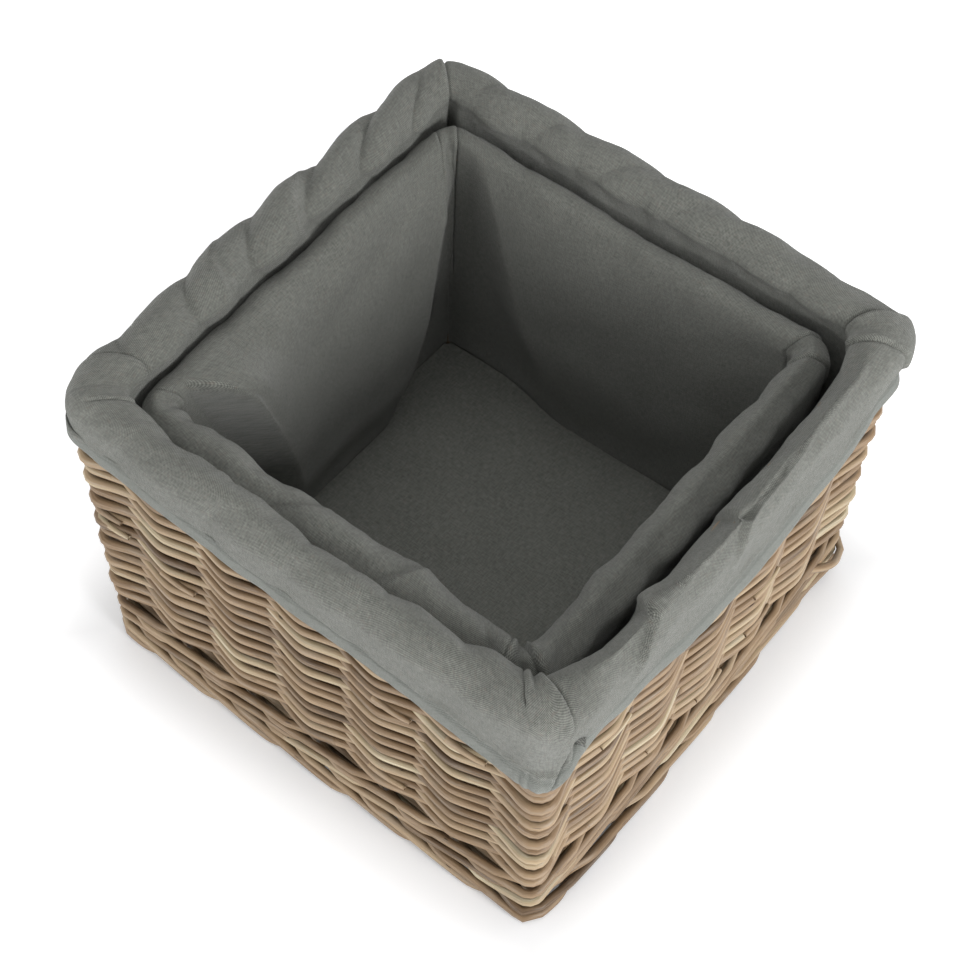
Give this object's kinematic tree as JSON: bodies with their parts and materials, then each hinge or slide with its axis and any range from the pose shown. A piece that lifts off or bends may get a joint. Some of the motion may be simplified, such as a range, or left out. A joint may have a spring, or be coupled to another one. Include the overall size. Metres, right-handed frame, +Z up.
{
  "type": "lined wicker log basket",
  "caption": "Square woven willow log basket, wide open at the top, with a padded cloth lining folded over the rim and a smaller matching lined basket nested inside.",
  "frame": {"origin": "centre of the outer basket's footprint, on the floor it stands on", "axes": "+Z up out of the mouth, +X and +Y square to the walls; the two baskets' walls are parallel to X and Y"},
  "size_m": [0.4, 0.4, 0.2883],
  "materials": {
    "willow_weave": "antique washed willow rods, satin",
    "willow_rim": "antique washed willow rods, satin",
    "willow_foot": "antique washed willow rods, satin",
    "willow_stakes": "willow sticks, satin",
    "lining_cloth": "grey heathered linen-look cloth",
    "hem_stitch": "grey heathered linen-look cloth"
  },
  "bodies": {
    "outer_basket": {"outer_base_sticks": "willow_stakes", "outer_base_weave": "willow_weave", "outer_corner_posts": "willow_stakes", "outer_foot_back": "willow_foot", "outer_foot_front": "willow_foot", "outer_foot_left": "willow_foot", "outer_foot_right": "willow_foot", "outer_rim_back": "willow_rim", "outer_rim_front": "willow_rim", "outer_rim_left": "willow_rim", "outer_rim_right": "willow_rim", "outer_stakes": "willow_stakes", "outer_wall_back": "willow_weave", "outer_wall_front": "willow_weave", "outer_wall_left": "willow_weave", "outer_wall_right": "willow_weave"},
    "outer_lining": {"outer_lining_cuff_back": "lining_cloth", "outer_lining_cuff_front": "lining_cloth", "outer_lining_cuff_left": "lining_cloth", "outer_lining_cuff_right": "lining_cloth", "outer_lining_floor": "lining_cloth", "outer_lining_hem": "hem_stitch", "outer_lining_roll_back": "lining_cloth", "outer_lining_roll_front": "lining_cloth", "outer_lining_roll_left": "lining_cloth", "outer_lining_roll_right": "lining_cloth", "outer_lining_wall_back": "lining_cloth", "outer_lining_wall_front": "lining_cloth", "outer_lining_wall_left": "lining_cloth", "outer_lining_wall_right": "lining_cloth"},
    "inner_basket": {"inner_base_sticks": "willow_stakes", "inner_base_weave": "willow_weave", "inner_foot_back": "willow_foot", "inner_foot_front": "willow_foot", "inner_foot_left": "willow_foot", "inner_foot_right": "willow_foot", "inner_rim_back": "willow_rim", "inner_rim_front": "willow_rim", "inner_rim_left": "willow_rim", "inner_rim_right": "willow_rim", "inner_uprights": "willow_stakes", "inner_wall_back": "willow_weave", "inner_wall_front": "willow_weave", "inner_wall_left": "willow_weave", "inner_wall_right": "willow_weave"},
    "inner_lining": {"inner_lining_cuff_back": "lining_cloth", "inner_lining_cuff_front": "lining_cloth", "inner_lining_cuff_left": "lining_cloth", "inner_lining_cuff_right": "lining_cloth", "inner_lining_floor": "lining_cloth", "inner_lining_hem": "hem_stitch", "inner_lining_roll_back": "lining_cloth", "inner_lining_roll_front": "lining_cloth", "inner_lining_roll_left": "lining_cloth", "inner_lining_roll_right": "lining_cloth", "inner_lining_wall_back": "lining_cloth", "inner_lining_wall_front": "lining_cloth", "inner_lining_wall_left": "lining_cloth", "inner_lining_wall_right": "lining_cloth"}
  },
  "joints": [
    {"name": "outer_lining_lift", "type": "slide", "parent": "outer_basket", "child": "outer_lining", "axis": [0, 0, 1], "range_m": [0, 0.3]},
    {"name": "inner_basket_lift", "type": "slide", "parent": "outer_lining", "child": "inner_basket", "axis": [0, 0, 1], "range_m": [0, 0.3]},
    {"name": "inner_lining_lift", "type": "slide", "parent": "inner_basket", "child": "inner_lining", "axis": [0, 0, 1], "range_m": [0, 0.26]}
  ]
}
